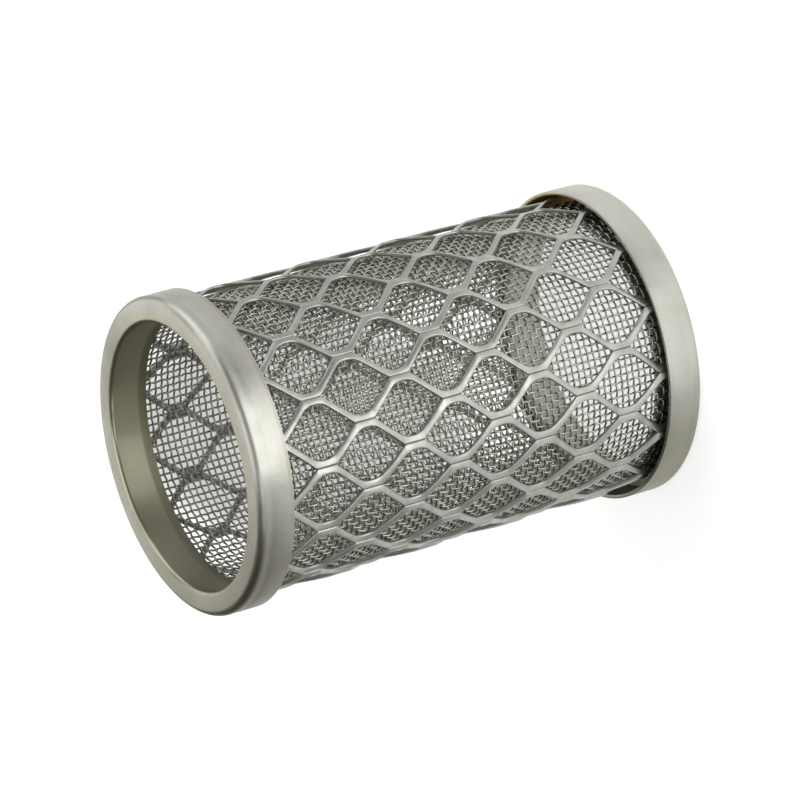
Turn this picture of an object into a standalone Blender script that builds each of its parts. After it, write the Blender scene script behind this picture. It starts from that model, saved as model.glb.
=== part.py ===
"""Basket screen of a pipeline strainer, standing on one end ring.

Four pieces: a pressed channel ring at each end, a plain weave wire mesh sleeve that runs
from ring to ring round their collars, and a sleeve of raised expanded metal outside it.
The tube's axis is +Z and the lower ring's face lies on Z = 0. Metres.
"""
import math

import bmesh
import bpy

# Overall
LENGTH = 0.0635
BORE_DIAMETER = 0.0336
SEGMENTS = 48

# End rings, pressed from sheet to a channel open towards the sleeves
RING_SHEET = 0.0005
BAND_WIDTH = 0.0048
COLLAR_DEPTH = 0.0052
SHOULDER_RADIUS = 0.0009
MOUTH_RADIUS = 0.0008
FLARE_LENGTH = 0.0013
COLLAR_FLARE = 0.00012

# Wire mesh sleeve, drawn as one wall with the crimps of a coarser weave
MESH_CLEARANCE = 0.00018
MESH_WALL = 0.0002
MESH_CRIMP = 0.0002
MESH_END_GAP = 0.0004
MESH_RIBS = 24
GAP_ROWS = 5
RIB_SHARE = 0.26
CROSS_BAND = 0.0018

# Support sleeve of raised expanded metal, its long diagonals along the tube
SLEEVE_CLEARANCE = 0.00025
STRAND_THICKNESS = 0.00045
STRAND_RISE = 0.0003
CHANNEL_CLEARANCE = 0.0005
SLEEVE_ENTRY = 0.0007
CELLS_AROUND = 14
LONG_PITCH = 0.01228
STRAND_WIDTH = 0.00083
BOND_LENGTH = 0.0024
CORNER_RADIUS = 0.0012

MERGE = 1e-6

# Radii, stacked outwards from the bore
COLLAR_INNER = BORE_DIAMETER / 2
COLLAR_OUTER = COLLAR_INNER + RING_SHEET
MESH_INNER = COLLAR_OUTER + COLLAR_FLARE + MESH_CLEARANCE
MESH_OUTER = MESH_INNER + MESH_WALL + MESH_CRIMP
SLEEVE_INNER = MESH_OUTER + SLEEVE_CLEARANCE
SLEEVE_OUTER = SLEEVE_INNER + STRAND_THICKNESS + STRAND_RISE
BAND_INNER = SLEEVE_OUTER + CHANNEL_CLEARANCE
BAND_OUTER = BAND_INNER + RING_SHEET


def clear_scene():
    """Removes the objects that the file opened with."""
    for old in list(bpy.data.objects):
        bpy.data.objects.remove(old, do_unlink=True)


def steel(name, colour, roughness):
    """A stainless steel finish."""
    material = bpy.data.materials.new(name)
    material.use_nodes = True
    shader = material.node_tree.nodes["Principled BSDF"]
    shader.inputs["Base Color"].default_value = (*colour, 1.0)
    shader.inputs["Metallic"].default_value = 1.0
    shader.inputs["Roughness"].default_value = roughness
    return material


def finish_piece(name, bm, material):
    """Closes a bmesh into a named object with outward faces and soft shading."""
    bmesh.ops.recalc_face_normals(bm, faces=bm.faces[:])
    mesh = bpy.data.meshes.new(name)
    bm.to_mesh(mesh)
    bm.free()
    mesh.shade_smooth()
    mesh.set_sharp_from_angle(angle=math.radians(35))
    mesh.materials.append(material)
    piece = bpy.data.objects.new(name, mesh)
    bpy.context.scene.collection.objects.link(piece)
    return piece


def arc(centre, radius, start, end, steps):
    """Points of an arc in the (radius, height) plane, angles in degrees."""
    points = []
    for step in range(steps + 1):
        angle = math.radians(start + (end - start) * step / steps)
        points.append((centre[0] + radius * math.cos(angle), centre[1] + radius * math.sin(angle)))
    return points


def ring_profile():
    """Section of an end ring: band, shoulder, face, rolled mouth, collar, and back inside."""
    shoulder = (BAND_OUTER - SHOULDER_RADIUS, SHOULDER_RADIUS)
    mouth = (COLLAR_INNER + MOUTH_RADIUS, MOUTH_RADIUS)
    shoulder_inside = max(SHOULDER_RADIUS - RING_SHEET, 0.2 * RING_SHEET)
    mouth_inside = max(MOUTH_RADIUS - RING_SHEET, 0.2 * RING_SHEET)
    flare_start = COLLAR_DEPTH - FLARE_LENGTH
    outside = [(BAND_OUTER, BAND_WIDTH)]
    outside += arc(shoulder, SHOULDER_RADIUS, 0, -90, 4)
    outside += arc(mouth, MOUTH_RADIUS, -90, -180, 3)
    outside += [(COLLAR_INNER, flare_start), (COLLAR_INNER + COLLAR_FLARE, COLLAR_DEPTH)]
    inside = [(COLLAR_OUTER + COLLAR_FLARE, COLLAR_DEPTH), (COLLAR_OUTER, flare_start)]
    mouth_floor = (COLLAR_OUTER + mouth_inside, RING_SHEET + mouth_inside)
    shoulder_floor = (BAND_INNER - shoulder_inside, RING_SHEET + shoulder_inside)
    inside += arc(mouth_floor, mouth_inside, -180, -90, 2)
    inside += arc(shoulder_floor, shoulder_inside, -90, 0, 3)
    inside += [(BAND_INNER, BAND_WIDTH)]
    return outside + inside


def end_ring(name, upper, material):
    """The ring section spun about the axis, turned over for the upper end."""
    bm = bmesh.new()
    rim = []
    for radius, height in ring_profile():
        rim.append(bm.verts.new((radius, 0.0, LENGTH - height if upper else height)))
    edges = [bm.edges.new((rim[i - 1], rim[i])) for i in range(len(rim))]
    bmesh.ops.spin(bm, geom=rim + edges, cent=(0, 0, 0), axis=(0, 0, 1), angle=math.tau,
                   steps=SEGMENTS, use_merge=True)
    return finish_piece(name, bm, material)


def roll(bm, radius_of):
    """Rolls a flat sheet into a tube: x is an angle, y a height, z a lift kept per point."""
    for vert in bm.verts:
        angle, height, lift = vert.co
        radius = radius_of(lift)
        vert.co = (radius * math.cos(angle), radius * math.sin(angle), height)
    bmesh.ops.remove_doubles(bm, verts=bm.verts[:], dist=MERGE)


def thicken_inwards(bm, inner_radius_of):
    """Gives a rolled sheet its wall: a second skin whose radius follows from the first's."""
    skin = bmesh.ops.extrude_face_region(bm, geom=bm.faces[:], use_keep_orig=True)
    for vert in skin["geom"]:
        if isinstance(vert, bmesh.types.BMVert):
            radius = math.hypot(vert.co.x, vert.co.y)
            share = inner_radius_of(radius) / radius
            vert.co.x *= share
            vert.co.y *= share


def mesh_heights():
    """Heights of the lines across the mesh wall: the edges of each row of gaps."""
    low = RING_SHEET + MESH_END_GAP
    pitch = (LENGTH - 2 * low - CROSS_BAND) / GAP_ROWS
    heights = [low]
    for row in range(GAP_ROWS):
        heights += [low + row * pitch + CROSS_BAND, low + (row + 1) * pitch]
    return heights + [LENGTH - low]


def wire_mesh_sleeve(material):
    """One wall with a raised rib beside each column of gaps, crimped up and down."""
    bm = bmesh.new()
    pitch = math.tau / MESH_RIBS
    rib = RIB_SHARE * pitch
    heights = mesh_heights()
    for column in range(MESH_RIBS):
        start = column * pitch
        for row in range(len(heights) - 1):
            low, high = heights[row], heights[row + 1]
            crests = [MESH_CRIMP * (1.0 if (column + row + step) % 2 else 0.4) for step in (0, 1)]
            lines = [(start, 0.0, 0.0), (start + rib / 2, *crests), (start + rib, 0.0, 0.0)]
            if row % 2 == 0:
                lines.append((start + pitch, 0.0, 0.0))
            for left, right in zip(lines, lines[1:]):
                corners = [(left[0], low, left[1]), (right[0], low, right[1]),
                           (right[0], high, right[2]), (left[0], high, left[2])]
                bm.faces.new([bm.verts.new(corner) for corner in corners])
    roll(bm, lambda lift: MESH_INNER + MESH_WALL + lift)
    thicken_inwards(bm, lambda radius: MESH_INNER)
    return finish_piece("wire_mesh_sleeve", bm, material)


class Lattice:
    """Sizes of the expanded metal, and the outline of one of its openings."""

    def __init__(self):
        self.low = BAND_WIDTH - SLEEVE_ENTRY
        self.high = LENGTH - self.low
        span = self.high - self.low
        self.half_cells = max(3, round(span / (LONG_PITCH / 2)))
        self.half_pitch = span / self.half_cells
        self.mean_radius = (SLEEVE_INNER + SLEEVE_OUTER) / 2
        self.row_step = math.tau / (2 * CELLS_AROUND)
        self.row_width = self.row_step * self.mean_radius
        rise = self.row_width - STRAND_WIDTH
        run = self.half_pitch - BOND_LENGTH
        self.slope = math.atan2(rise, run)
        mitre = STRAND_WIDTH / 2 * math.tan(self.slope / 2)
        self.tip = BOND_LENGTH / 2 + mitre
        self.crown = self.row_width - STRAND_WIDTH
        corner = BOND_LENGTH / 2 - mitre
        tangent = min(CORNER_RADIUS * math.tan(self.slope / 2), 0.8 * corner)
        self.flat = corner - tangent
        self.shoulder = corner + tangent * math.cos(self.slope)
        self.drop = tangent * math.sin(self.slope)

    def point(self, row, along, across):
        """A point as angle, height and lift, measured from the middle line of a row."""
        angle = row * self.row_step + across / self.mean_radius
        lift = STRAND_RISE / 2 * across / self.crown
        return angle, self.low + along, lift

    def rim(self, row, centre, side, ends):
        """Half of an opening's rim beside a bond: its crown, seen from the row's middle line."""
        places = []
        for end in ends:
            corner = [(end * self.shoulder, self.crown - self.drop), (end * self.flat, self.crown)]
            places += corner if end < 0 else corner[::-1]
        return [self.point(row, centre + x, side * y) for x, y in places]


def add_face(bm, points):
    """A face on new points, which are merged with their neighbours' when the sheet is rolled."""
    bm.faces.new([bm.verts.new(point) for point in points])


def add_bond(bm, lattice, row, centre, ends):
    """The two strands that meet in a bond; a bond at the sheet's edge has one end only."""
    for side in (-1, 1):
        tips = [lattice.point(row, centre + end * lattice.tip, 0.0) for end in ends]
        crown = lattice.rim(row + side, centre, -side, ends)
        if len(ends) == 1:
            middle = lattice.point(row, centre, 0.0)
            cut = lattice.point(row + side, centre, -side * lattice.crown)
            if ends[0] > 0:
                tips = [middle] + tips
                crown = [cut] + crown
            else:
                tips = tips + [middle]
                crown = crown + [cut]
        add_face(bm, tips + crown[::-1])


def add_leg(bm, lattice, row, centre, side, end):
    """The slanted strand from a bond in this row to the next one in the row beside it."""
    far = centre + end * lattice.half_pitch
    add_face(bm, [
        lattice.point(row, centre + end * lattice.tip, 0.0),
        lattice.point(row + side, centre + end * lattice.shoulder, side * (lattice.drop - lattice.crown)),
        lattice.point(row + side, far - end * lattice.tip, 0.0),
        lattice.point(row, far - end * lattice.shoulder, side * (lattice.crown - lattice.drop)),
    ])


def support_sleeve(material):
    """Raised expanded metal rolled to a tube, cut through its bonds at both ends."""
    lattice = Lattice()
    bm = bmesh.new()
    for row in range(2 * CELLS_AROUND):
        for step in range(row % 2, lattice.half_cells + 1, 2):
            centre = step * lattice.half_pitch
            ends = [end for end in (-1, 1) if 0 <= step + end <= lattice.half_cells]
            add_bond(bm, lattice, row, centre, ends)
            if step < lattice.half_cells:
                add_leg(bm, lattice, row, centre, 1, 1)
                add_leg(bm, lattice, row, centre, -1, 1)
    roll(bm, lambda lift: SLEEVE_OUTER - STRAND_RISE / 2 + lift)
    thicken_inwards(bm, lambda radius: radius - STRAND_THICKNESS)
    return finish_piece("support_sleeve", bm, material)


def main():
    clear_scene()
    ring_steel = steel("satin_ring_steel", (0.56, 0.55, 0.50), 0.32)
    end_ring("lower_end_ring", False, ring_steel)
    end_ring("upper_end_ring", True, ring_steel.copy())
    wire_mesh_sleeve(steel("wire_steel", (0.42, 0.41, 0.37), 0.38))
    support_sleeve(steel("expanded_steel", (0.52, 0.52, 0.50), 0.35))


main()
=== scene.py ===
"""Looks of the strainer screen: pressed end rings, raised expanded metal and woven wire cloth.

The tube stands on its lower ring, axis +Z. Metres. Each piece takes the place of the plain
solid with the same sizes.
"""
import math

import bmesh
import bpy
from mathutils import Matrix, Vector


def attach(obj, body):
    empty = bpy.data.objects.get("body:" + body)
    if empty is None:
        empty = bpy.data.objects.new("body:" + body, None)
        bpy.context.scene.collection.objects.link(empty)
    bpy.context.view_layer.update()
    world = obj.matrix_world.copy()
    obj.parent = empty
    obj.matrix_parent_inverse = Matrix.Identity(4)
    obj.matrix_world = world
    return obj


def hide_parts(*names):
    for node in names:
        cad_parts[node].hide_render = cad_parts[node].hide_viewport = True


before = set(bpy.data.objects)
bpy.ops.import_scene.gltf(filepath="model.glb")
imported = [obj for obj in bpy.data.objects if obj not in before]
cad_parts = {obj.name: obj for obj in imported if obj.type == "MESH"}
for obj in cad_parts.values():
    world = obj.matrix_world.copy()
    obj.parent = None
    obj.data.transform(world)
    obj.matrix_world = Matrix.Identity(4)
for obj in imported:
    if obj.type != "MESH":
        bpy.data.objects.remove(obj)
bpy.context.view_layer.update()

LENGTH = 0.0635

# End rings
RING_BORE = 0.0168
RING_OUTSIDE = 0.020
RING_SHEET = 0.0005
BAND_WIDTH = 0.0048
COLLAR_DEPTH = 0.0052
COLLAR_FLARE = 0.00012
FLARE_LENGTH = 0.0013
SHOULDER_RADIUS = 0.0009
MOUTH_RADIUS = 0.00052
HOLLOW_PLACE = 0.00165
HOLLOW_REACH = 0.0006
HOLLOW_DEPTH = 0.00005
RIM_ROUND = 0.0001
RING_STEPS = 192

# Expanded metal
SLEEVE_RADIUS = 0.018625
SLEEVE_LOW = 0.0041
CELLS_AROUND = 14
HALF_CELLS = 9
STRAND_TILT = math.radians(18)
STRAND_WIDTH = 0.00087 * math.cos(STRAND_TILT)
STRAND_RISE = 0.00087 * math.sin(STRAND_TILT)
STRAND_THICKNESS = 0.00045
ROLLED_EDGE = 0.00022
SHEARED_EDGE = 0.00015
BOND_LENGTH = 0.0024
CROWN_RADIUS = 0.0023
TIP_RADIUS = 0.0003
CROWN_STEPS = 6
TIP_STEPS = 2

# Wire cloth
CLOTH_RADIUS = 0.01782
WIRE = 0.00029
LONG_WIRES = 122
HOOP_WIRES = 73
CLOTH_LOW = 0.0009
WIRE_SIDES = 6

MERGE = 1e-6
# Floor glow: FRONT_GLOW is a painted pool of light in front of the part, SHADE_BEHIND a painted shadow
# behind it.
FLOOR_GLOW = 0.62
FRONT_GLOW = 1.0
MIRRORED_SHARE = 0.68
SHADE_BEHIND = 0.92


def finish_piece(name, bm, material, nodes, crease=40):
    """Turns a bmesh into a piece that rides on the part in place of its plain solid."""
    bmesh.ops.recalc_face_normals(bm, faces=bm.faces[:])
    mesh = bpy.data.meshes.new(name)
    bm.to_mesh(mesh)
    bm.free()
    mesh.shade_smooth()
    mesh.set_sharp_from_angle(angle=math.radians(crease))
    mesh.materials.append(material)
    piece = bpy.data.objects.new(name, mesh)
    bpy.context.scene.collection.objects.link(piece)
    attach(piece, "root")
    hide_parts(*nodes)
    return piece


def rounded_section(bm, corners):
    """A closed outline in the XZ plane: each corner is (x, z, rounding, segments)."""
    verts = [bm.verts.new((x, 0.0, z)) for x, z, _, _ in corners]
    face = bm.faces.new(verts)
    for vert, (_, _, rounding, segments) in zip(verts, corners):
        if rounding:
            bmesh.ops.bevel(bm, geom=[vert], affect="VERTICES", offset=rounding,
                            segments=segments, profile=0.5, material=-1)
    face = bm.faces[:]
    bmesh.ops.delete(bm, geom=face, context="FACES_ONLY")
    return bm.verts[:] + bm.edges[:]


def end_ring(name, upper, material, node):
    """The pressing, spun: band with a faint hollow, shoulder, flat face, rolled mouth and collar."""
    flare = COLLAR_DEPTH - FLARE_LENGTH
    collar_back = RING_BORE + RING_SHEET
    corners = [
        (RING_OUTSIDE, BAND_WIDTH, RIM_ROUND, 2),
        (RING_OUTSIDE, HOLLOW_PLACE + HOLLOW_REACH, HOLLOW_REACH / 3, 3),
        (RING_OUTSIDE - HOLLOW_DEPTH, HOLLOW_PLACE, HOLLOW_REACH / 2, 4),
        (RING_OUTSIDE, HOLLOW_PLACE - HOLLOW_REACH, HOLLOW_REACH / 6, 3),
        (RING_OUTSIDE, 0.0, SHOULDER_RADIUS, 12),
        (RING_BORE, 0.0, MOUTH_RADIUS, 8),
        (RING_BORE, flare, 0.0003, 2),
        (RING_BORE + COLLAR_FLARE, COLLAR_DEPTH, RIM_ROUND, 2),
        (collar_back + COLLAR_FLARE, COLLAR_DEPTH, RIM_ROUND, 2),
        (collar_back, flare, 0.0003, 2),
        (collar_back, RING_SHEET, MOUTH_RADIUS - RING_SHEET, 4),
        (RING_OUTSIDE - RING_SHEET, RING_SHEET, SHOULDER_RADIUS - RING_SHEET, 6),
        (RING_OUTSIDE - RING_SHEET, BAND_WIDTH, RIM_ROUND, 2),
    ]
    bm = bmesh.new()
    outline = rounded_section(bm, corners)
    bmesh.ops.spin(bm, geom=outline, cent=(0, 0, 0), axis=(0, 0, 1), angle=math.tau,
                   steps=RING_STEPS, use_merge=True)
    if upper:
        bmesh.ops.transform(bm, matrix=Matrix.Rotation(math.pi, 4, "X"), verts=bm.verts[:])
        bmesh.ops.translate(bm, vec=(0, 0, LENGTH), verts=bm.verts[:])
    return finish_piece(name, bm, material, [node])


def sheet_pitches():
    """Half pitch of the openings along the tube, and the width of a row round it."""
    return (LENGTH - 2 * SLEEVE_LOW) / HALF_CELLS, math.pi / CELLS_AROUND * SLEEVE_RADIUS


def rounded_corner(corner, before, after, radius, steps):
    """Points of an arc that rounds a corner of a flat outline."""
    towards = (before - corner).normalized()
    away = (after - corner).normalized()
    half = towards.angle(away) / 2
    centre = corner + (towards + away).normalized() * radius / math.sin(half)
    start = corner + towards * radius / math.tan(half) - centre
    end = corner + away * radius / math.tan(half) - centre
    return [centre + start.slerp(end, step / steps) * start.length for step in range(steps + 1)]


def half_leg():
    """Both rims of a strand in the flat sheet, from the middle of a bond to the middle of a leg."""
    pitch, row = sheet_pitches()
    slope = math.atan2(row - STRAND_WIDTH, pitch - BOND_LENGTH)
    mitre = STRAND_WIDTH / 2 * math.tan(slope / 2)
    along = Vector((math.sin(slope), math.cos(slope)))
    across = Vector((math.cos(slope), -math.sin(slope))) * STRAND_WIDTH / 2
    tip = Vector((0.0, BOND_LENGTH / 2 + mitre))
    crown = Vector((STRAND_WIDTH, BOND_LENGTH / 2 - mitre))
    waist = Vector((row / 2, pitch / 2))
    low = [Vector((0.0, 0.0))]
    high = [Vector((STRAND_WIDTH, 0.0))]
    bend = rounded_corner(crown, high[0], crown + along, CROWN_RADIUS, CROWN_STEPS)
    if bend[0].y < 0:
        bend[0].y = 0.0
    notch = rounded_corner(tip, low[0], tip + along, TIP_RADIUS, TIP_STEPS)
    early = CROWN_STEPS - TIP_STEPS
    low += [notch[0] * (step + 1) / (early + 1) for step in range(early)] + notch
    high += bend
    low.append(waist - across)
    high.append(waist + across)
    return list(zip(low, high))


def strand_rims():
    """Both rims of a whole strand of the flat sheet, which swings between two rows."""
    pitch, row = sheet_pitches()
    half = half_leg()
    turned = [(Vector((row, pitch)) - high, Vector((row, pitch)) - low) for low, high in half]
    leg = half + turned[-2::-1]
    stations = []
    for step in range(HALF_CELLS):
        stretch = leg
        if step % 2:
            stretch = [(Vector((low.x, pitch - low.y)), Vector((high.x, pitch - high.y)))
                       for low, high in reversed(leg)]
        start = Vector((0.0, step * pitch))
        stations += [(low + start, high + start) for low, high in stretch[bool(step):]]
    return stations


def strand_section():
    """Outline of a strand's section: (measured from the high rim, distance in, height)."""
    half = STRAND_THICKNESS / 2
    outline = [(False, SHEARED_EDGE, -half), (False, 0.0, SHEARED_EDGE - half),
               (False, 0.0, half - ROLLED_EDGE)]
    outline += [(False, SHEARED_EDGE * (1 - math.sin(a)), half - SHEARED_EDGE * (1 - math.cos(a)))
                for a in (math.pi / 2, math.pi / 4, 0)]
    outline += [(True, ROLLED_EDGE * (1 - math.sin(a)), half - ROLLED_EDGE * (1 - math.cos(a)))
                for a in (math.pi / 2 * step / 5 for step in range(6))]
    outline += [(True, 0.0, SHEARED_EDGE - half), (True, SHEARED_EDGE, -half)]
    return outline


def flat_strand(mirrored):
    """One strand of the flat sheet, as a tube of quads round its two rims, tilted like a louvre."""
    _, row = sheet_pitches()
    stations = strand_rims()
    if mirrored:
        stations = [(Vector((row - high.x, high.y)), Vector((row - low.x, low.y)))
                    for low, high in stations]
    outline = strand_section()
    bm = bmesh.new()
    lift = bm.verts.layers.float.new("lift")
    bmesh.ops.create_grid(bm, x_segments=len(outline), y_segments=len(stations) - 1, size=0.5)
    for vert in bm.verts:
        from_high, inset, height = outline[round((vert.co.x + 0.5) * len(outline)) % len(outline)]
        low, high = stations[round((vert.co.y + 0.5) * (len(stations) - 1))]
        share = 1 - inset / (high - low).length if from_high else inset / (high - low).length
        place = low.lerp(high, share)
        swing = (1 - share) * low.x - share * (row - high.x)
        vert[lift] = STRAND_RISE * swing / (row - STRAND_WIDTH)
        vert.co = (place.x, place.y, height)
    bmesh.ops.remove_doubles(bm, verts=bm.verts[:], dist=MERGE)
    bmesh.ops.holes_fill(bm, edges=[e for e in bm.edges if e.is_boundary])
    welded = STRAND_THICKNESS / 2 - ROLLED_EDGE + MERGE
    walls = [f for f in bm.faces if len(f.verts) == 4 and all(
        min(abs(v.co.x), abs(v.co.x - row)) < MERGE and v.co.z < welded for v in f.verts)]
    bmesh.ops.delete(bm, geom=walls, context="FACES")
    for vert in bm.verts:
        vert.co.x += vert.co.z * math.sin(STRAND_TILT)
        vert.co.z = vert[lift] + vert.co.z * math.cos(STRAND_TILT)
    return bm


def expanded_metal(material):
    """Twenty-eight strands side by side, welded at the bonds and rolled to a tube."""
    _, row = sheet_pitches()
    bm = bmesh.new()
    for mirrored in (False, True):
        strand = flat_strand(mirrored)
        bmesh.ops.translate(strand, vec=(row * mirrored, 0, 0), verts=strand.verts[:])
        mesh = bpy.data.meshes.new("strand")
        strand.to_mesh(mesh)
        strand.free()
        bm.from_mesh(mesh)
        bpy.data.meshes.remove(mesh)
    pair = bm.verts[:] + bm.edges[:] + bm.faces[:]
    for cell in range(1, CELLS_AROUND):
        copy = bmesh.ops.duplicate(bm, geom=pair)["geom"]
        bmesh.ops.translate(bm, vec=(2 * row * cell, 0, 0),
                            verts=[v for v in copy if isinstance(v, bmesh.types.BMVert)])
    for vert in bm.verts:
        angle = vert.co.x / SLEEVE_RADIUS
        radius = SLEEVE_RADIUS + vert.co.z
        vert.co = (radius * math.cos(angle), radius * math.sin(angle), SLEEVE_LOW + vert.co.y)
    bmesh.ops.remove_doubles(bm, verts=bm.verts[:], dist=MERGE)
    return finish_piece("expanded_metal_sleeve", bm, material, ["support_sleeve"], 60)


def wire_pitch():
    """Distance between hoop wires."""
    return (LENGTH - 2 * CLOTH_LOW - WIRE) / (HOOP_WIRES - 1)


def wire_section(bm, upright):
    """A wire's outline, flat or upright, at the cloth's middle radius."""
    section = bmesh.ops.create_circle(bm, segments=WIRE_SIDES, radius=WIRE / 2)["verts"]
    if upright:
        turn = Matrix.Rotation(math.pi / 2, 3, "X")
        bmesh.ops.rotate(bm, cent=(0, 0, 0), matrix=turn, verts=section)
    bmesh.ops.translate(bm, vec=(CLOTH_RADIUS, 0, CLOTH_LOW + WIRE / 2), verts=section)
    return section + list({e for v in section for e in v.link_edges})


def long_wires(number, material):
    """Every second wire along the tube, crimped over and under the hoop wires."""
    pitch = wire_pitch()
    first = CLOTH_LOW + WIRE / 2
    bm = bmesh.new()
    outline = wire_section(bm, False)
    bmesh.ops.translate(bm, vec=(0, 0, -pitch / 2), verts=bm.verts[:])
    bmesh.ops.spin(bm, geom=outline, cent=(0, 0, 0), axis=(0, 0, 1), angle=0.0,
                   dvec=(0, 0, pitch / 2), steps=2 * HOOP_WIRES)
    for vert in bm.verts:
        wave = math.cos(math.pi * (vert.co.z - first) / pitch + math.pi * number)
        vert.co.x -= WIRE / 2 * wave
        vert.co.z = min(max(vert.co.z, CLOTH_LOW), LENGTH - CLOTH_LOW)
    bmesh.ops.holes_fill(bm, edges=[e for e in bm.edges if e.is_boundary])
    turn = Matrix.Rotation(number * math.tau / LONG_WIRES, 3, "Z")
    bmesh.ops.rotate(bm, cent=(0, 0, 0), matrix=turn, verts=bm.verts[:])
    wire = bm.verts[:] + bm.edges[:] + bm.faces[:]
    bmesh.ops.spin(bm, geom=wire, cent=(0, 0, 0), axis=(0, 0, 1), use_duplicate=True,
                   angle=math.tau * (1 - 2 / LONG_WIRES), steps=LONG_WIRES // 2 - 1)
    name = ("cloth_even_long_wires", "cloth_odd_long_wires")[number]
    return finish_piece(name, bm, material, ["wire_mesh_sleeve"], 80)


def hoop_wires(number, material):
    """Every second wire round the tube, woven through the wires along it."""
    pitch = wire_pitch()
    bm = bmesh.new()
    outline = wire_section(bm, True)
    bmesh.ops.spin(bm, geom=outline, cent=(0, 0, 0), axis=(0, 0, 1), angle=math.tau,
                   steps=2 * LONG_WIRES, use_merge=True)
    for vert in bm.verts:
        wave = math.cos(LONG_WIRES / 2 * math.atan2(vert.co.y, vert.co.x) + math.pi * number)
        share = 1 + WIRE / 2 * wave / math.hypot(vert.co.x, vert.co.y)
        vert.co.x *= share
        vert.co.y *= share
    bmesh.ops.translate(bm, vec=(0, 0, number * pitch), verts=bm.verts[:])
    wire = bm.verts[:] + bm.edges[:] + bm.faces[:]
    for hoop in range(2, HOOP_WIRES - number, 2):
        copy = bmesh.ops.duplicate(bm, geom=wire)["geom"]
        bmesh.ops.translate(bm, vec=(0, 0, hoop * pitch),
                            verts=[v for v in copy if isinstance(v, bmesh.types.BMVert)])
    name = ("cloth_even_hoop_wires", "cloth_odd_hoop_wires")[number]
    return finish_piece(name, bm, material, ["wire_mesh_sleeve"], 80)


def value_group(name, inputs):
    """An empty node group with named number inputs, the surface point, and one Value output."""
    group = bpy.data.node_groups.new(name, "ShaderNodeTree")
    group.interface.new_socket("Point", in_out="INPUT", socket_type="NodeSocketVector")
    for label, value in inputs.items():
        socket = group.interface.new_socket(label, in_out="INPUT", socket_type="NodeSocketFloat")
        socket.default_value = value
    group.interface.new_socket("Value", in_out="OUTPUT", socket_type="NodeSocketFloat")
    start = group.nodes.new("NodeGroupInput")
    end = group.nodes.new("NodeGroupOutput")
    return group, start, end


def math_node(tree, operation, *inputs):
    """A math node; an input is a socket or a number."""
    node = tree.nodes.new("ShaderNodeMath")
    node.operation = operation
    for place, source in zip(node.inputs, inputs):
        if isinstance(source, bpy.types.NodeSocket):
            tree.links.new(source, place)
        else:
            place.default_value = source
    return node.outputs["Value"]


def turned_grain_group():
    """Fine lines round the tube's axis, as left by pressing and polishing on a mandrel."""
    group, start, end = value_group("turned_grain", {"Lines per metre": 9000.0, "Wander": 1.6})
    point = group.nodes.new("ShaderNodeSeparateXYZ")
    group.links.new(start.outputs["Point"], point.inputs["Vector"])
    x, y, z = point.outputs
    radius = math_node(group, "SQRT", math_node(
        group, "ADD", math_node(group, "MULTIPLY", x, x), math_node(group, "MULTIPLY", y, y)))
    lines, wander = start.outputs["Lines per metre"], start.outputs["Wander"]
    around = group.nodes.new("ShaderNodeCombineXYZ")
    group.links.new(math_node(group, "MULTIPLY", math_node(group, "DIVIDE", x, radius), wander),
                    around.inputs["X"])
    group.links.new(math_node(group, "MULTIPLY", math_node(group, "DIVIDE", y, radius), wander),
                    around.inputs["Y"])
    group.links.new(math_node(group, "MULTIPLY", radius, lines), around.inputs["Z"])
    noise = group.nodes.new("ShaderNodeTexNoise")
    noise.noise_dimensions = "4D"
    noise.inputs["Scale"].default_value = 1.0
    noise.inputs["Detail"].default_value = 2.0
    group.links.new(around.outputs["Vector"], noise.inputs["Vector"])
    group.links.new(math_node(group, "MULTIPLY", z, lines), noise.inputs["W"])
    group.links.new(noise.outputs["Fac"], end.inputs["Value"])
    return group


def patches_group():
    """Soft uneven patches, for stains, matt spots and uneven polish."""
    group, start, end = value_group("patches", {"Size": 0.004, "Detail": 3.0, "Level": 0.5,
                                                "Softness": 0.15})
    noise = group.nodes.new("ShaderNodeTexNoise")
    group.links.new(start.outputs["Point"], noise.inputs["Vector"])
    group.links.new(math_node(group, "DIVIDE", 1.0, start.outputs["Size"]), noise.inputs["Scale"])
    group.links.new(start.outputs["Detail"], noise.inputs["Detail"])
    low = math_node(group, "SUBTRACT", start.outputs["Level"], start.outputs["Softness"])
    high = math_node(group, "ADD", start.outputs["Level"], start.outputs["Softness"])
    ramp = group.nodes.new("ShaderNodeMapRange")
    ramp.interpolation_type = "SMOOTHSTEP"
    group.links.new(noise.outputs["Fac"], ramp.inputs["Value"])
    group.links.new(low, ramp.inputs["From Min"])
    group.links.new(high, ramp.inputs["From Max"])
    group.links.new(ramp.outputs["Result"], end.inputs["Value"])
    return group


def hairlines_group():
    """Thin stray scratches: the places where a soft noise crosses its middle value."""
    group, start, end = value_group("hairlines", {"Size": 0.003, "Width": 0.01})
    noise = group.nodes.new("ShaderNodeTexNoise")
    noise.inputs["Detail"].default_value = 0.0
    noise.inputs["Distortion"].default_value = 0.4
    group.links.new(start.outputs["Point"], noise.inputs["Vector"])
    group.links.new(math_node(group, "DIVIDE", 1.0, start.outputs["Size"]), noise.inputs["Scale"])
    away = math_node(group, "ABSOLUTE", math_node(group, "SUBTRACT", noise.outputs["Fac"], 0.5))
    ramp = group.nodes.new("ShaderNodeMapRange")
    ramp.inputs["To Min"].default_value = 1.0
    ramp.inputs["To Max"].default_value = 0.0
    group.links.new(away, ramp.inputs["Value"])
    group.links.new(start.outputs["Width"], ramp.inputs["From Max"])
    group.links.new(ramp.outputs["Result"], end.inputs["Value"])
    return group


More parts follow.
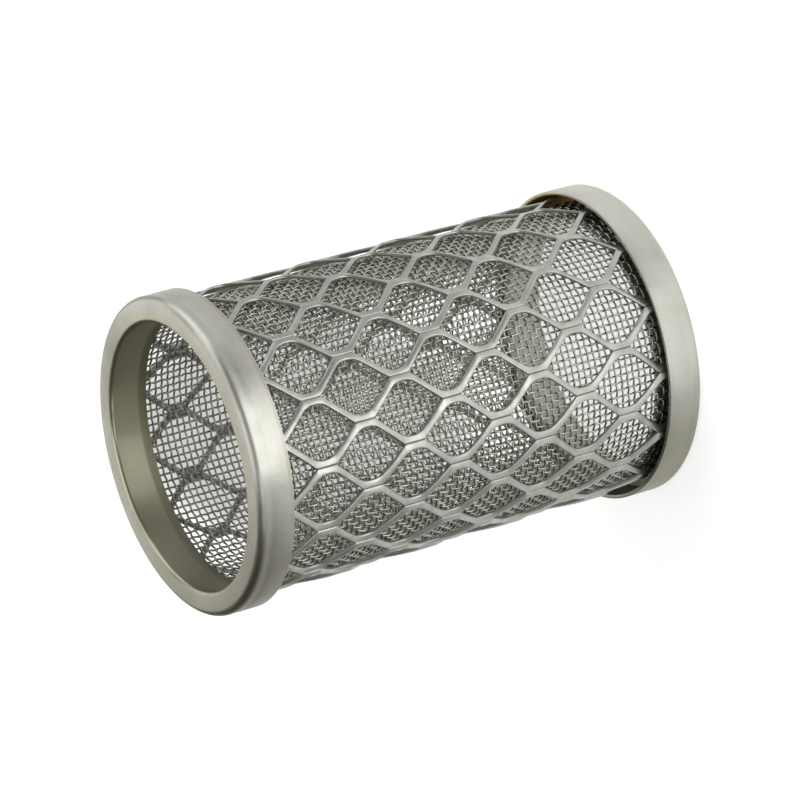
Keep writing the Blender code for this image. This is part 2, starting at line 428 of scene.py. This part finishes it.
def metal(name, colour, roughness):
    """A bare metal with plain values, the point on its surface and its shader."""
    material = bpy.data.materials.new(name)
    material.use_nodes = True
    tree = material.node_tree
    shader = tree.nodes["Principled BSDF"]
    shader.inputs["Base Color"].default_value = (*colour, 1.0)
    shader.inputs["Metallic"].default_value = 1.0
    shader.inputs["Roughness"].default_value = roughness
    point = tree.nodes.new("ShaderNodeTexCoord").outputs["Object"]
    return material, tree, shader, point


def marks(tree, group, point, **values):
    """One use of a group of marks, with its own values."""
    node = tree.nodes.new("ShaderNodeGroup")
    node.node_tree = group
    tree.links.new(point, node.inputs["Point"])
    for label, value in values.items():
        node.inputs[label.replace("_", " ")].default_value = value
    return node.outputs["Value"]


def blend(tree, share, plain, marked):
    """A colour that goes from plain to marked with the share; plain may be a socket."""
    node = tree.nodes.new("ShaderNodeMix")
    node.data_type = "RGBA"
    tree.links.new(share, node.inputs[0])
    for place, colour in ((node.inputs[6], plain), (node.inputs[7], marked)):
        if isinstance(colour, bpy.types.NodeSocket):
            tree.links.new(colour, place)
        else:
            place.default_value = (*colour, 1.0)
    return node.outputs[2]


def spread(tree, share, low, high):
    """A number that goes from low to high with the share."""
    node = tree.nodes.new("ShaderNodeMapRange")
    tree.links.new(share, node.inputs["Value"])
    node.inputs["To Min"].default_value = low
    node.inputs["To Max"].default_value = high
    return node.outputs["Result"]


def fading(tree, value, start, stop):
    """One up to the start, then softly down to none at the stop."""
    node = tree.nodes.new("ShaderNodeMapRange")
    node.interpolation_type = "SMOOTHSTEP"
    tree.links.new(value, node.inputs["Value"])
    node.inputs["From Min"].default_value = start
    node.inputs["From Max"].default_value = stop
    node.inputs["To Min"].default_value = 1.0
    node.inputs["To Max"].default_value = 0.0
    return node.outputs["Result"]


def ring_zones(tree, point):
    """Shares of a ring that are its face, its inner side, the flared end of its collar and the side away
    from the lamps that gets painted shade, and its axes.
    """
    parts = tree.nodes.new("ShaderNodeSeparateXYZ")
    tree.links.new(point, parts.inputs["Vector"])
    x, y, z = parts.outputs
    reach = math_node(tree, "SQRT", math_node(
        tree, "ADD", math_node(tree, "MULTIPLY", x, x), math_node(tree, "MULTIPLY", y, y)))
    height = math_node(tree, "ABSOLUTE", math_node(tree, "SUBTRACT", z, LENGTH / 2))
    face = fading(tree, reach, RING_BORE + 0.0006, RING_OUTSIDE - SHOULDER_RADIUS / 2)
    collar = fading(tree, reach, RING_BORE + 0.0002, RING_BORE + 0.0004)
    start = LENGTH / 2 - COLLAR_DEPTH + FLARE_LENGTH
    flare = math_node(tree, "MULTIPLY", collar, fading(tree, height, start - 0.0002, start + 0.0001))
    # Painted shade: the side of the ring away from the lamps, below x = -2 mm, is darkened.
    painted_side_shade = fading(tree, x, -0.018, -0.002)
    return face, collar, flare, painted_side_shade, reach, height


def ring_steel(name, groups, inner_tone):
    """Pressed stainless sheet: satin, grained round the axis, faintly stained and scratched; painted shade
    on the side away from the lamps, at the collar's flared end and in part inside the collar, and a
    painted shadow line along the band's free edge.
    """
    material, tree, shader, point = metal(name, (0.58, 0.57, 0.49), 0.42)
    shader.inputs["Anisotropic"].default_value = 0.65
    shader.inputs["Anisotropic Rotation"].default_value = 0.25
    tangent = tree.nodes.new("ShaderNodeTangent")
    tangent.direction_type = "RADIAL"
    tangent.axis = "Z"
    tree.links.new(tangent.outputs["Tangent"], shader.inputs["Tangent"])
    face, collar, flare, painted_side_shade, reach, height = ring_zones(tree, point)
    grain = marks(tree, groups["grain"], point)
    stain = marks(tree, groups["patches"], point, Size=0.0026, Detail=3.0, Level=0.56, Softness=0.32)
    uneven = marks(tree, groups["patches"], point, Size=0.009, Level=0.5, Softness=0.3)
    scratch = cross_scratches(tree, groups, point)
    colour = blend(tree, grain, (0.55, 0.55, 0.50), (0.62, 0.62, 0.57))
    colour = blend(tree, math_node(tree, "MULTIPLY", face, inner_tone * 1.4), colour, (0.54, 0.52, 0.39))
    colour = blend(tree, math_node(tree, "MULTIPLY", stain, 0.28), colour, (0.42, 0.40, 0.30))
    colour = blend(tree, math_node(tree, "MULTIPLY", scratch, 0.4), colour, (0.34, 0.32, 0.25))
    # Inside the collar the ring is darker and more khaki: partly its own duller tone, partly painted shade
    # in the bore.
    colour = blend(tree, math_node(tree, "MULTIPLY", collar, inner_tone), colour, (0.49, 0.475, 0.345))
    # Painted shade: the collar's flared deep end is darkened to olive.
    colour = blend(tree, math_node(tree, "MULTIPLY", flare, inner_tone * 1.4), colour, (0.28, 0.27, 0.175))
    # Painted shade on the ring's side away from the lamps.
    colour = blend(tree, math_node(tree, "MULTIPLY", painted_side_shade, 0.85), colour, (0.375, 0.365, 0.295))
    colour = blend(tree, rim_shadow(tree, reach, height, stain, inner_tone), colour, (0.40, 0.36, 0.27))
    if name == "tinted_ring_steel":
        colour = heat_tint(tree, point, colour, reach)
    tree.links.new(colour, shader.inputs["Base Color"])
    satin = spread(tree, uneven, 0.35, 0.42)
    rough = math_node(tree, "ADD", math_node(tree, "MULTIPLY", stain, 0.05), math_node(
        tree, "SUBTRACT", satin, math_node(tree, "MULTIPLY", collar, 0.07)))
    tree.links.new(rough, shader.inputs["Roughness"])
    return material


def cross_scratches(tree, groups, point):
    """Faint scratches across the band, from handling, here and there."""
    squeezed = tree.nodes.new("ShaderNodeMapping")
    squeezed.inputs["Scale"].default_value = (1.0, 1.0, 0.12)
    tree.links.new(point, squeezed.inputs["Vector"])
    lines = marks(tree, groups["hairlines"], squeezed.outputs["Vector"], Size=0.0007, Width=0.025)
    some = marks(tree, groups["patches"], point, Size=0.003, Level=0.58, Softness=0.08)
    return math_node(tree, "MULTIPLY", lines, some)


def rim_shadow(tree, reach, height, stain, inner_tone):
    """The uneven brown line along the sheared free edge of the band, on its outside."""
    outside = math_node(tree, "GREATER_THAN", reach, RING_OUTSIDE - RING_SHEET / 2)
    start = LENGTH / 2 - BAND_WIDTH
    line = math_node(tree, "ABSOLUTE", math_node(tree, "SUBTRACT", height, start + 0.0003))
    soft = fading(tree, line, 0.00004, 0.00026)
    uneven = math_node(tree, "MULTIPLY", inner_tone, math_node(tree, "MULTIPLY_ADD", stain, 0.9, 0.5))
    return math_node(tree, "MULTIPLY", math_node(tree, "MULTIPLY", outside, soft), uneven)


def heat_tint(tree, point, colour, reach):
    """The gold and brown stain of a spot weld on the band's inner side, round one place."""
    place = tree.nodes.new("ShaderNodeVectorMath")
    place.operation = "DISTANCE"
    tree.links.new(point, place.inputs[0])
    place.inputs[1].default_value = (0.0191, 0.002, 0.0022)
    near = fading(tree, place.outputs["Value"], 0.0035, 0.0105)
    below = math_node(tree, "LESS_THAN", reach, RING_OUTSIDE - RING_SHEET / 2)
    beyond = math_node(tree, "GREATER_THAN", reach, RING_BORE + RING_SHEET + 0.0006)
    share = math_node(tree, "MULTIPLY", near, math_node(tree, "MULTIPLY", below, beyond))
    ramp = tree.nodes.new("ShaderNodeValToRGB")
    ramp.color_ramp.elements[0].position = 0.0
    ramp.color_ramp.elements[0].color = (0.62, 0.53, 0.30, 1.0)
    ramp.color_ramp.elements[1].position = 1.0
    ramp.color_ramp.elements[1].color = (0.48, 0.34, 0.13, 1.0)
    tree.links.new(share, ramp.inputs["Fac"])
    return blend(tree, math_node(tree, "POWER", share, 0.6), colour, ramp.outputs["Color"])


def sleeve_steel(groups):
    """Rolled sheet, matt and a little uneven."""
    material, tree, shader, point = metal("expanded_steel", (0.47, 0.47, 0.44), 0.36)
    uneven = marks(tree, groups["patches"], point, Size=0.0016, Level=0.5, Softness=0.25)
    colour = blend(tree, uneven, (0.42, 0.42, 0.39), (0.51, 0.51, 0.475))
    tree.links.new(colour, shader.inputs["Base Color"])
    tree.links.new(spread(tree, uneven, 0.42, 0.31), shader.inputs["Roughness"])
    return material


def wire_steel(groups):
    """Drawn wire, a little darker and warmer than the sheet."""
    material, tree, shader, point = metal("drawn_wire", (0.42, 0.42, 0.375), 0.2)
    uneven = marks(tree, groups["patches"], point, Size=0.0012, Level=0.5, Softness=0.2)
    colour = blend(tree, uneven, (0.34, 0.34, 0.295), (0.50, 0.50, 0.455))
    tree.links.new(colour, shader.inputs["Base Color"])
    return material


def floor_glow(tree):
    """Strength of the floor's own white: full under the part and behind it, none to the sides; a brighter
    oval in front is a painted pool of light for the rings to mirror, and a darker oval behind the part is
    a painted shadow.
    """
    point = tree.nodes.new("ShaderNodeTexCoord").outputs["Object"]
    parts = tree.nodes.new("ShaderNodeSeparateXYZ")
    tree.links.new(point, parts.inputs["Vector"])
    x, y, _ = parts.outputs
    behind = math_node(tree, "MAXIMUM", math_node(tree, "SUBTRACT", y, 0.1), 0.0)
    reach = math_node(tree, "MULTIPLY_ADD", behind, 0.4, 0.066)
    aside = math_node(tree, "DIVIDE", math_node(
        tree, "ABSOLUTE", math_node(tree, "ADD", x, 0.008)), reach)
    sides = fading(tree, aside, 1.0, 1.25)
    front = fading(tree, math_node(tree, "MULTIPLY", y, -1.0), 0.065, 0.11)
    open_floor = math_node(tree, "MULTIPLY", sides, front)
    # Painted pool of light: an oval in front of the part glows brighter, for the rings to mirror.
    level = math_node(tree, "MULTIPLY_ADD", oval(tree, point, (0.004, -0.042), (0.022, 0.02)),
                      FRONT_GLOW - FLOOR_GLOW, FLOOR_GLOW)
    # Painted shadow: an oval behind the part glows less.
    shade = math_node(tree, "MULTIPLY_ADD", oval(tree, point, (-0.009, 0.095), (0.0155, 0.047)),
                      -SHADE_BEHIND, 1.0)
    rays = tree.nodes.new("ShaderNodeLightPath")
    mirrored = math_node(tree, "MULTIPLY", rays.outputs["Is Glossy Ray"], MIRRORED_SHARE)
    seen = math_node(tree, "MAXIMUM", rays.outputs["Is Camera Ray"], math_node(
        tree, "MAXIMUM", mirrored, rays.outputs["Is Transmission Ray"]))
    share = math_node(tree, "MULTIPLY", math_node(tree, "MULTIPLY", open_floor, shade), seen)
    return math_node(tree, "MULTIPLY", share, level)


def oval(tree, point, centre, reach):
    """One inside an oval on the floor, then softly down to none a little farther out."""
    sheet = tree.nodes.new("ShaderNodeMapping")
    sheet.vector_type = "TEXTURE"
    sheet.inputs["Location"].default_value = (*centre, 0.0)
    sheet.inputs["Scale"].default_value = (*reach, 1.0)
    tree.links.new(point, sheet.inputs["Vector"])
    away = tree.nodes.new("ShaderNodeVectorMath")
    away.operation = "LENGTH"
    tree.links.new(sheet.outputs["Vector"], away.inputs[0])
    return fading(tree, away.outputs["Value"], 0.9, 1.32)


def pale_floor():
    """A white floor that keeps the part's shadow, with a painted pool of light in front of the part and a
    painted shadow behind it.
    """
    material = bpy.data.materials.new("white_floor")
    material.use_nodes = True
    shader = material.node_tree.nodes["Principled BSDF"]
    shader.inputs["Base Color"].default_value = (0.9, 0.9, 0.9, 1.0)
    shader.inputs["Roughness"].default_value = 0.9
    shader.inputs["Specular IOR Level"].default_value = 0.0
    shader.inputs["Emission Color"].default_value = (1.0, 1.0, 1.0, 1.0)
    glow = floor_glow(material.node_tree)
    material.node_tree.links.new(glow, shader.inputs["Emission Strength"])
    bm = bmesh.new()
    bmesh.ops.create_grid(bm, x_segments=1, y_segments=1, size=3.0)
    bmesh.ops.translate(bm, vec=(0, 0, -0.00005), verts=bm.verts[:])
    mesh = bpy.data.meshes.new("floor")
    bm.to_mesh(mesh)
    bm.free()
    mesh.materials.append(material)
    floor = bpy.data.objects.new("floor", mesh)
    bpy.context.scene.collection.objects.link(floor)


def softbox(name, azimuth, height, distance, size, radiance):
    """A rectangular lamp turned to the part: angles in degrees, and how bright its face looks."""
    around, up = math.radians(azimuth), math.radians(height)
    aim = Vector((0, 0, LENGTH / 2))
    towards = Vector((math.cos(up) * math.cos(around), math.cos(up) * math.sin(around), math.sin(up)))
    lamp = bpy.data.lights.new(name, "AREA")
    lamp.shape = "RECTANGLE"
    lamp.size, lamp.size_y = size
    lamp.energy = radiance * math.pi * lamp.size * lamp.size_y
    box = bpy.data.objects.new(name, lamp)
    box.location = aim + towards * distance
    box.rotation_euler = (-towards).to_track_quat("-Z", "Y").to_euler()
    box.visible_camera = False
    bpy.context.scene.collection.objects.link(box)
    return box


def lying_card():
    """A bright card that lies on the floor in front, out of view, and shows in the upper ring."""
    card = softbox("lying_card", -85, -20, 0.14, (0.125, 0.09), 1.4)
    card.location = (0.012, -0.13, 0.001)
    card.rotation_euler = (math.pi, 0.0, 0.0)


def studio():
    """Soft boxes on the side that is the photograph's top, dim on the other; floor and world."""
    scene = bpy.context.scene
    scene.view_settings.view_transform = "Standard"
    world = bpy.data.worlds.new("studio")
    world.use_nodes = True
    world.node_tree.nodes["Background"].inputs["Color"].default_value = (0.06, 0.058, 0.048, 1.0)
    scene.world = world
    softbox("side", 8, 16, 0.6, (0.66, 0.36), 1.5)
    softbox("side_over", 0, 52, 0.6, (0.5, 0.4), 1.2)
    softbox("overhead", -90, 88, 0.62, (0.36, 0.36), 1.65)
    softbox("front_over", -88, 60, 0.6, (0.36, 0.3), 0.75)
    softbox("back_over", 90, 54, 0.6, (0.4, 0.12), 1.6)
    softbox("back", 74, 26, 0.6, (0.6, 0.3), 1.1)
    softbox("left", -120, 15, 0.6, (0.2, 0.34), 1.35)
    softbox("low_card", -86, -1.5, 0.16, (0.15, 0.05), 1.9)
    softbox("edge_light", -142, 14, 0.6, (0.06, 0.16), 4.0)
    lying_card()
    pale_floor()


def camera():
    """The photograph's viewpoint: well above the side, rolled so that the tube lies down."""
    data = bpy.data.cameras.new("camera")
    data.sensor_width = 36.0
    data.lens = 218.12
    data.clip_start = 0.01
    view = bpy.data.objects.new("camera", data)
    forward = Vector((-0.08148, 0.87930, -0.46925)).normalized()
    up = Vector((0.97094, -0.03627, -0.23656))
    up = (up - up.dot(forward) * forward).normalized()
    right = forward.cross(up)
    turn = Matrix((right, up, -forward)).transposed()
    view.matrix_world = Matrix.Translation((0.048474, -0.528475, 0.313916)) @ turn.to_4x4()
    bpy.context.scene.collection.objects.link(view)
    bpy.context.scene.camera = view


def main():
    groups = {"grain": turned_grain_group(), "patches": patches_group(),
              "hairlines": hairlines_group()}
    end_ring("lower_ring_pressing", False, ring_steel("tinted_ring_steel", groups, 0.1),
             "lower_end_ring")
    end_ring("upper_ring_pressing", True, ring_steel("satin_ring_steel", groups, 0.55),
             "upper_end_ring")
    expanded_metal(sleeve_steel(groups))
    wire = wire_steel(groups)
    for number in range(2):
        long_wires(number, wire)
        hoop_wires(number, wire)
    studio()
    camera()


main()
